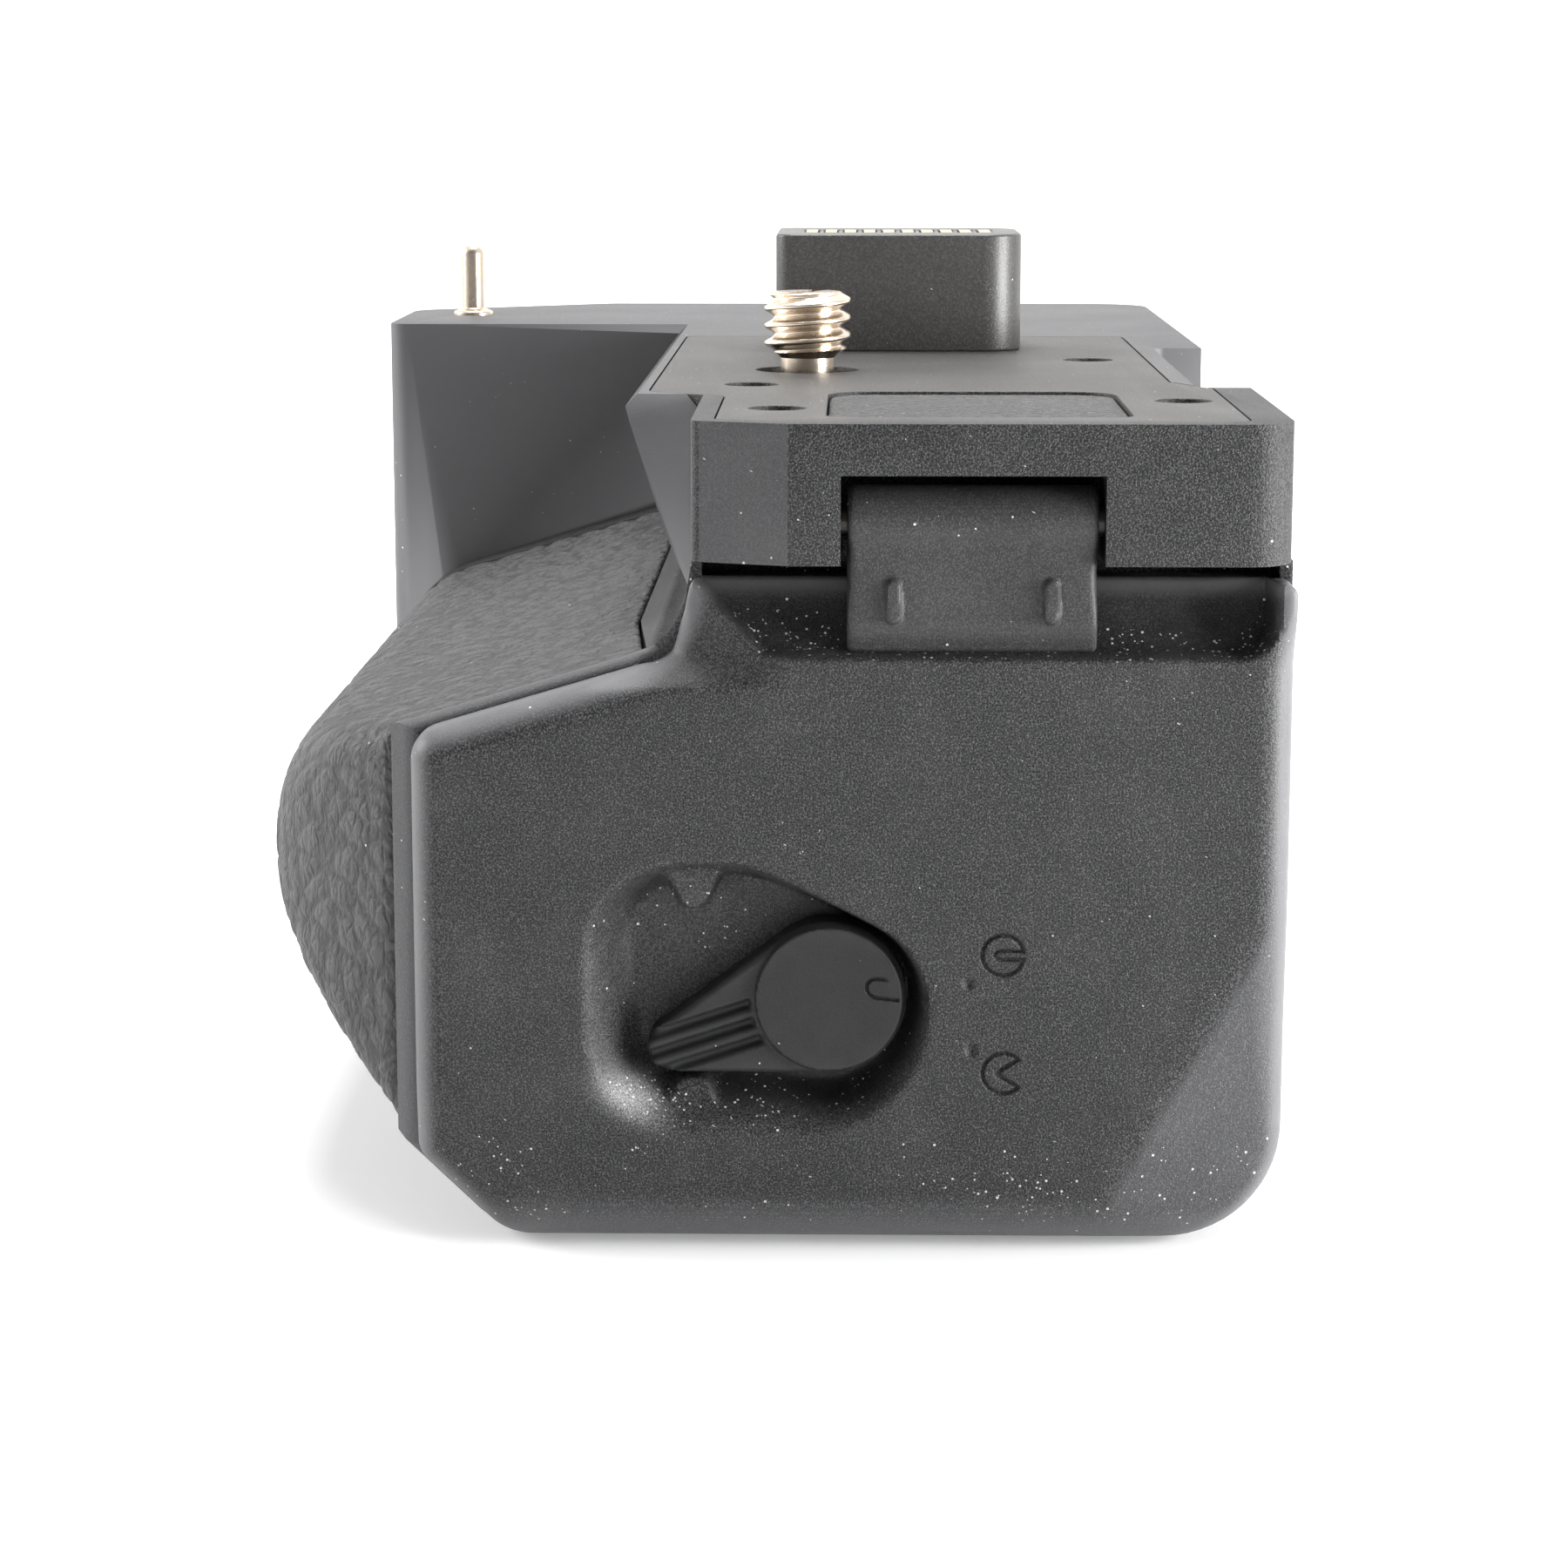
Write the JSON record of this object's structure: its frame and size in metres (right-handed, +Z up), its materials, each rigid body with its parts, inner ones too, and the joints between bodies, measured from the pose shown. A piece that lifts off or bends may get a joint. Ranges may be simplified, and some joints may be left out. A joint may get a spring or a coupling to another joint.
{
  "type": "camera battery grip",
  "caption": "Vertical battery grip that screws under a camera: a hand grip with a hinged, latched battery door, a thumbwheel camera screw and a second set of controls.",
  "frame": {"origin": "mouth of the tripod socket on the base, straight under the camera screw", "axes": "+X along the grip towards the battery door, -Y to the front (lens side), +Z up towards the camera"},
  "size_m": [0.1341, 0.0713, 0.0621],
  "materials": {
    "shell_plastic": "coarse spark texture",
    "fine_plastic": "fine spark texture",
    "grip_rubber": "leather grain",
    "dark_rubber": "matte",
    "gloss_black": "satin",
    "steel": "warm nickel plate",
    "black_steel": "black oxide",
    "gold_contact": "gold plate",
    "board": "solder mask"
  },
  "bodies": {
    "grip": {"main_shell": "shell_plastic", "base_cover": "fine_plastic", "base_screws": "steel", "tripod_bush": "steel", "top_plate": "shell_plastic", "top_plate_screws": "black_steel", "connector_block": "fine_plastic", "connector_contacts": "gold_contact", "locating_pin": "steel", "front_pad": "grip_rubber", "thumb_pad": "grip_rubber", "battery_chamber": "fine_plastic", "chamber_seal": "dark_rubber", "contact_block": "fine_plastic", "contact_blades": "gold_contact", "main_board": "board", "door_hinge_pin": "steel", "front_dial_axle": "steel", "rear_dial_axle": "steel"},
    "cap": {"contact_cap": "dark_rubber"},
    "screw": {"camera_screw": "steel", "screw_wheel": "dark_rubber"},
    "door": {"battery_door": "fine_plastic", "door_inner_cover": "fine_plastic", "door_cover_screws": "steel"},
    "lever": {"latch_lever": "fine_plastic", "latch_shaft": "steel"},
    "bolt": {"latch_bolt": "steel"},
    "shutter": {"shutter_button": "gloss_black"},
    "collar": {"shutter_collar": "fine_plastic"},
    "front_wheel": {"front_dial": "dark_rubber"},
    "rear_wheel": {"rear_dial": "dark_rubber"},
    "focus": {"focus_button": "gloss_black"},
    "function": {"function_button": "gloss_black"},
    "gimbal": {"selector_ring": "steel"},
    "selector": {"selector_cap": "dark_rubber"}
  },
  "joints": [
    {"name": "door_hinge", "type": "hinge", "parent": "grip", "child": "door", "pos_m": [0.0438, 0.01085, 0.0468], "axis": [0, -1, 0], "range_deg": [0, 100]},
    {"name": "latch_turn", "type": "hinge", "parent": "door", "child": "lever", "pos_m": [0.0442, 0.002, 0.0165], "axis": [-1, 0, 0], "range_deg": [0, 35]},
    {"name": "bolt_slide", "type": "slide", "parent": "door", "child": "bolt", "axis": [0, -1, 0], "range_m": [0, 0.00241]},
    {"name": "cap_pull", "type": "slide", "parent": "grip", "child": "cap", "axis": [0, 0, 1], "range_m": [0, 0.006]},
    {"name": "screw_turn", "type": "hinge", "parent": "grip", "child": "screw", "pos_m": [0, 0, 0.048], "axis": [0, 0, 1], "continuous": true},
    {"name": "shutter_press", "type": "slide", "parent": "grip", "child": "shutter", "axis": [0.8335, 0.5525, 0], "range_m": [0, 0.0012], "stiffness_N_per_m": 500, "springref_m": -0.0008},
    {"name": "collar_turn", "type": "hinge", "parent": "grip", "child": "collar", "pos_m": [-0.0818, -0.02875, 0.024], "axis": [-0.8335, -0.5525, 0], "range_deg": [0, 40]},
    {"name": "front_dial_turn", "type": "hinge", "parent": "grip", "child": "front_wheel", "pos_m": [-0.0675, -0.0319, 0.022], "axis": [1, 0, 0], "continuous": true},
    {"name": "rear_dial_turn", "type": "hinge", "parent": "grip", "child": "rear_wheel", "pos_m": [-0.0776, 0.0254, 0.027], "axis": [1, 0, 0], "continuous": true},
    {"name": "focus_press", "type": "slide", "parent": "grip", "child": "focus", "axis": [0, -1, 0], "range_m": [0, 0.0008], "stiffness_N_per_m": 500, "springref_m": -0.0008},
    {"name": "function_press", "type": "slide", "parent": "grip", "child": "function", "axis": [0, -1, 0], "range_m": [0, 0.0008], "stiffness_N_per_m": 500, "springref_m": -0.0008},
    {"name": "selector_tilt_v", "type": "hinge", "parent": "grip", "child": "gimbal", "pos_m": [-0.0556, 0.0258, 0.026], "axis": [1, 0, 0], "range_deg": [-8, 8], "stiffness_Nm_per_rad": 0.02},
    {"name": "selector_tilt_h", "type": "hinge", "parent": "gimbal", "child": "selector", "pos_m": [-0.0556, 0.0258, 0.026], "axis": [0, 0, 1], "range_deg": [-8, 8], "stiffness_Nm_per_rad": 0.02}
  ],
  "couplings": [
    {"joint": "latch_turn", "follows": "bolt_slide", "rad_per_m": 253.92}
  ]
}
